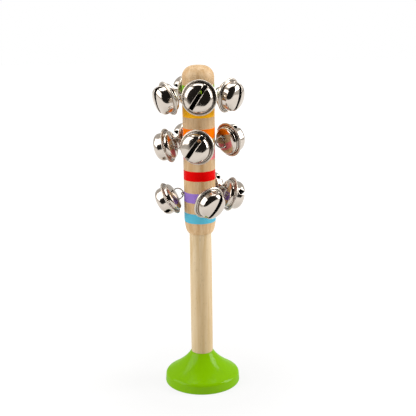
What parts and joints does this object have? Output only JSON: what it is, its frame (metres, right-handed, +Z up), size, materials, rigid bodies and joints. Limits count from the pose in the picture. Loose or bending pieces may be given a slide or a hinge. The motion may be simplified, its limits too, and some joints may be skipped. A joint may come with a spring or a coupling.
{
  "type": "sleigh bell stick",
  "caption": "Wooden hand percussion stick on a flared foot, hung with rows of slotted jingle bells on wire rings; the bells turn and their balls rattle.",
  "frame": {"origin": "centre of the base's flat underside", "axes": "+Z up along the stick, -Y towards the front bells, +X to the right"},
  "size_m": [0.054, 0.0534, 0.1968],
  "materials": {
    "green_paint": "gloss paint",
    "handle_wood": "sanded, clear satin",
    "head_wood": "sanded, clear satin, painted rings",
    "nickel_plate": "bright nickel plate",
    "ring_wire": "bright nickel plate",
    "staple_steel": "bright drawn wire",
    "ball_steel": "tumbled"
  },
  "bodies": {
    "body": {"base": "green_paint", "handle": "handle_wood", "head": "head_wood", "staples": "staple_steel"},
    "upper_front_ring": {"upper_front_ring": "ring_wire"},
    "upper_front_bell": {"upper_front_bell_cup": "nickel_plate", "upper_front_bell_back": "nickel_plate"},
    "upper_front_ball": {"upper_front_ball": "ball_steel"},
    "upper_left_ring": {"upper_left_ring": "ring_wire"},
    "upper_left_bell": {"upper_left_bell_cup": "nickel_plate", "upper_left_bell_back": "nickel_plate"},
    "upper_left_ball": {"upper_left_ball": "ball_steel"},
    "upper_back_ring": {"upper_back_ring": "ring_wire"},
    "upper_back_bell": {"upper_back_bell_cup": "nickel_plate", "upper_back_bell_back": "nickel_plate"},
    "upper_back_ball": {"upper_back_ball": "ball_steel"},
    "upper_right_ring": {"upper_right_ring": "ring_wire"},
    "upper_right_bell": {"upper_right_bell_cup": "nickel_plate", "upper_right_bell_back": "nickel_plate"},
    "upper_right_ball": {"upper_right_ball": "ball_steel"},
    "middle_front_ring": {"middle_front_ring": "ring_wire"},
    "middle_front_bell": {"middle_front_bell_cup": "nickel_plate", "middle_front_bell_back": "nickel_plate"},
    "middle_front_ball": {"middle_front_ball": "ball_steel"},
    "middle_left_ring": {"middle_left_ring": "ring_wire"},
    "middle_left_bell": {"middle_left_bell_cup": "nickel_plate", "middle_left_bell_back": "nickel_plate"},
    "middle_left_ball": {"middle_left_ball": "ball_steel"},
    "middle_back_ring": {"middle_back_ring": "ring_wire"},
    "middle_back_bell": {"middle_back_bell_cup": "nickel_plate", "middle_back_bell_back": "nickel_plate"},
    "middle_back_ball": {"middle_back_ball": "ball_steel"},
    "middle_right_ring": {"middle_right_ring": "ring_wire"},
    "middle_right_bell": {"middle_right_bell_cup": "nickel_plate", "middle_right_bell_back": "nickel_plate"},
    "middle_right_ball": {"middle_right_ball": "ball_steel"},
    "lower_front_ring": {"lower_front_ring": "ring_wire"},
    "lower_front_bell": {"lower_front_bell_cup": "nickel_plate", "lower_front_bell_back": "nickel_plate"},
    "lower_front_ball": {"lower_front_ball": "ball_steel"},
    "lower_left_ring": {"lower_left_ring": "ring_wire"},
    "lower_left_bell": {"lower_left_bell_cup": "nickel_plate", "lower_left_bell_back": "nickel_plate"},
    "lower_left_ball": {"lower_left_ball": "ball_steel"},
    "lower_back_ring": {"lower_back_ring": "ring_wire"},
    "lower_back_bell": {"lower_back_bell_cup": "nickel_plate", "lower_back_bell_back": "nickel_plate"},
    "lower_back_ball": {"lower_back_ball": "ball_steel"},
    "lower_right_ring": {"lower_right_ring": "ring_wire"},
    "lower_right_bell": {"lower_right_bell_cup": "nickel_plate", "lower_right_bell_back": "nickel_plate"},
    "lower_right_ball": {"lower_right_ball": "ball_steel"}
  },
  "joints": [
    {"name": "upper_front_droop", "type": "hinge", "parent": "body", "child": "upper_front_ring", "pos_m": [0.00092, -0.01322, 0.1803], "axis": [0.9976, 0.0698, 0], "range_deg": [-29, 44]},
    {"name": "upper_front_turn", "type": "hinge", "parent": "upper_front_ring", "child": "upper_front_bell", "pos_m": [0.00104, -0.01485, 0.18047], "axis": [-0.0073, 0.1043, 0.9945], "range_deg": [-28, 27]},
    {"name": "upper_front_rattle", "type": "slide", "parent": "upper_front_bell", "child": "upper_front_ball", "axis": [0.0143, 0.1012, 0.9948], "range_m": [0, 0.0099]},
    {"name": "upper_left_droop", "type": "hinge", "parent": "body", "child": "upper_left_ring", "pos_m": [-0.01286, -0.00321, 0.1802], "axis": [0.2419, -0.9703, 0], "range_deg": [-52, 18]},
    {"name": "upper_left_turn", "type": "hinge", "parent": "upper_left_ring", "child": "upper_left_bell", "pos_m": [-0.01438, -0.00359, 0.17972], "axis": [-0.2837, -0.0707, 0.9563], "range_deg": [-52, 28]},
    {"name": "upper_left_rattle", "type": "slide", "parent": "upper_left_bell", "child": "upper_left_ball", "axis": [-0.2559, -0.1277, 0.9582], "range_m": [0, 0.0099]},
    {"name": "upper_back_droop", "type": "hinge", "parent": "body", "child": "upper_back_ring", "pos_m": [-0.00264, 0.01299, 0.1806], "axis": [-0.9799, -0.1994, 0], "range_deg": [-40, 27]},
    {"name": "upper_back_turn", "type": "hinge", "parent": "upper_back_ring", "child": "upper_back_bell", "pos_m": [-0.00297, 0.01458, 0.18043], "axis": [-0.0208, 0.1024, 0.9945], "range_deg": [-84, 2]},
    {"name": "upper_back_rattle", "type": "slide", "parent": "upper_back_bell", "child": "upper_back_ball", "axis": [-0.0626, 0.046, 0.997], "range_m": [0, 0.0099]},
    {"name": "upper_right_droop", "type": "hinge", "parent": "body", "child": "upper_right_ring", "pos_m": [0.01286, -0.00321, 0.1809], "axis": [0.2419, 0.9703, 0], "range_deg": [-45, 25]},
    {"name": "upper_right_turn", "type": "hinge", "parent": "upper_right_ring", "child": "upper_right_bell", "pos_m": [0.01443, -0.0036, 0.18062], "axis": [0.1685, -0.042, 0.9848], "range_deg": [-19, 61]},
    {"name": "upper_right_rattle", "type": "slide", "parent": "upper_right_bell", "child": "upper_right_ball", "axis": [0.1323, -0.0937, 0.9868], "range_m": [0, 0.0099]},
    {"name": "middle_front_droop", "type": "hinge", "parent": "body", "child": "middle_front_ring", "pos_m": [0.00012, -0.01325, 0.1523], "axis": [1, 0.0087, 0], "range_deg": [-34, 36]},
    {"name": "middle_front_turn", "type": "hinge", "parent": "middle_front_ring", "child": "middle_front_bell", "pos_m": [0.00013, -0.01489, 0.15233], "axis": [-0.0002, 0.0175, 0.9998], "range_deg": [-20, 60]},
    {"name": "middle_front_rattle", "type": "slide", "parent": "middle_front_bell", "child": "middle_front_ball", "axis": [0.0055, 0.0155, 0.9999], "range_m": [0, 0.0099]},
    {"name": "middle_left_droop", "type": "hinge", "parent": "body", "child": "middle_left_ring", "pos_m": [-0.01325, -0.00012, 0.1513], "axis": [0.0087, -1, 0], "range_deg": [-53, 18]},
    {"name": "middle_left_turn", "type": "hinge", "parent": "middle_left_ring", "child": "middle_left_bell", "pos_m": [-0.01482, -0.00013, 0.15082], "axis": [-0.2924, -0.0026, 0.9563], "range_deg": [-9, 56]},
    {"name": "middle_left_rattle", "type": "slide", "parent": "middle_left_bell", "child": "middle_left_ball", "axis": [-0.2699, 0.0784, 0.9597], "range_m": [0, 0.0099]},
    {"name": "middle_back_droop", "type": "hinge", "parent": "body", "child": "middle_back_ring", "pos_m": [-0.00309, 0.01289, 0.1521], "axis": [-0.9724, -0.2334, 0], "range_deg": [-41, 26]},
    {"name": "middle_back_turn", "type": "hinge", "parent": "middle_back_ring", "child": "middle_back_bell", "pos_m": [-0.00347, 0.01447, 0.1519], "axis": [-0.0284, 0.1185, 0.9925], "range_deg": [-84, 2]},
    {"name": "middle_back_rattle", "type": "slide", "parent": "middle_back_bell", "child": "middle_back_ball", "axis": [-0.0748, 0.051, 0.9959], "range_m": [0, 0.0099]},
    {"name": "middle_right_droop", "type": "hinge", "parent": "body", "child": "middle_right_ring", "pos_m": [0.01322, -0.00092, 0.1517], "axis": [0.0698, 0.9976, 0], "range_deg": [-20, 42]},
    {"name": "middle_right_turn", "type": "hinge", "parent": "middle_right_ring", "child": "middle_right_bell", "pos_m": [0.01482, -0.00104, 0.15204], "axis": [-0.2074, 0.0145, 0.9781], "range_deg": [-90, 2]},
    {"name": "middle_right_rattle", "type": "slide", "parent": "middle_right_bell", "child": "middle_right_ball", "axis": [-0.1099, -0.0977, 0.9891], "range_m": [0, 0.0099]},
    {"name": "lower_front_droop", "type": "hinge", "parent": "body", "child": "lower_front_ring", "pos_m": [0.00276, -0.01297, 0.1213], "axis": [0.9781, 0.2079, 0], "range_deg": [-57, 13]},
    {"name": "lower_front_turn", "type": "hinge", "parent": "lower_front_ring", "child": "lower_front_bell", "pos_m": [0.00307, -0.01445, 0.12069], "axis": [0.0779, -0.3664, 0.9272], "range_deg": [-64, 16]},
    {"name": "lower_front_rattle", "type": "slide", "parent": "lower_front_bell", "child": "lower_front_ball", "axis": [0.209, -0.271, 0.9396], "range_m": [0, 0.0099]},
    {"name": "lower_left_droop", "type": "hinge", "parent": "body", "child": "lower_left_ring", "pos_m": [-0.01314, -0.00173, 0.121], "axis": [0.1305, -0.9914, 0], "range_deg": [-67, 3]},
    {"name": "lower_left_turn", "type": "hinge", "parent": "lower_left_ring", "child": "lower_left_bell", "pos_m": [-0.01452, -0.00191, 0.12013], "axis": [-0.5254, -0.0692, 0.848], "range_deg": [-26, 54]},
    {"name": "lower_left_rattle", "type": "slide", "parent": "lower_left_bell", "child": "lower_left_ball", "axis": [-0.508, 0.0794, 0.8577], "range_m": [0, 0.0099]},
    {"name": "lower_back_droop", "type": "hinge", "parent": "body", "child": "lower_back_ring", "pos_m": [0.00207, 0.01309, 0.1213], "axis": [-0.9877, 0.1564, 0], "range_deg": [-36, 28]},
    {"name": "lower_back_turn", "type": "hinge", "parent": "lower_back_ring", "child": "lower_back_bell", "pos_m": [0.00233, 0.0147, 0.12116], "axis": [0.0136, 0.0861, 0.9962], "range_deg": [-2, 88]},
    {"name": "lower_back_rattle", "type": "slide", "parent": "lower_back_bell", "child": "lower_back_ball", "axis": [0.0501, 0.0376, 0.998], "range_m": [0, 0.0099]},
    {"name": "lower_right_droop", "type": "hinge", "parent": "body", "child": "lower_right_ring", "pos_m": [0.0132, 0.00116, 0.1207], "axis": [-0.0872, 0.9962, 0], "range_deg": [-51, 22]},
    {"name": "lower_right_turn", "type": "hinge", "parent": "lower_right_ring", "child": "lower_right_bell", "pos_m": [0.01477, 0.00129, 0.12025], "axis": [0.2746, 0.024, 0.9613], "range_deg": [-53, 7]},
    {"name": "lower_right_rattle", "type": "slide", "parent": "lower_right_bell", "child": "lower_right_ball", "axis": [0.2547, 0.0852, 0.9633], "range_m": [0, 0.0099]}
  ]
}
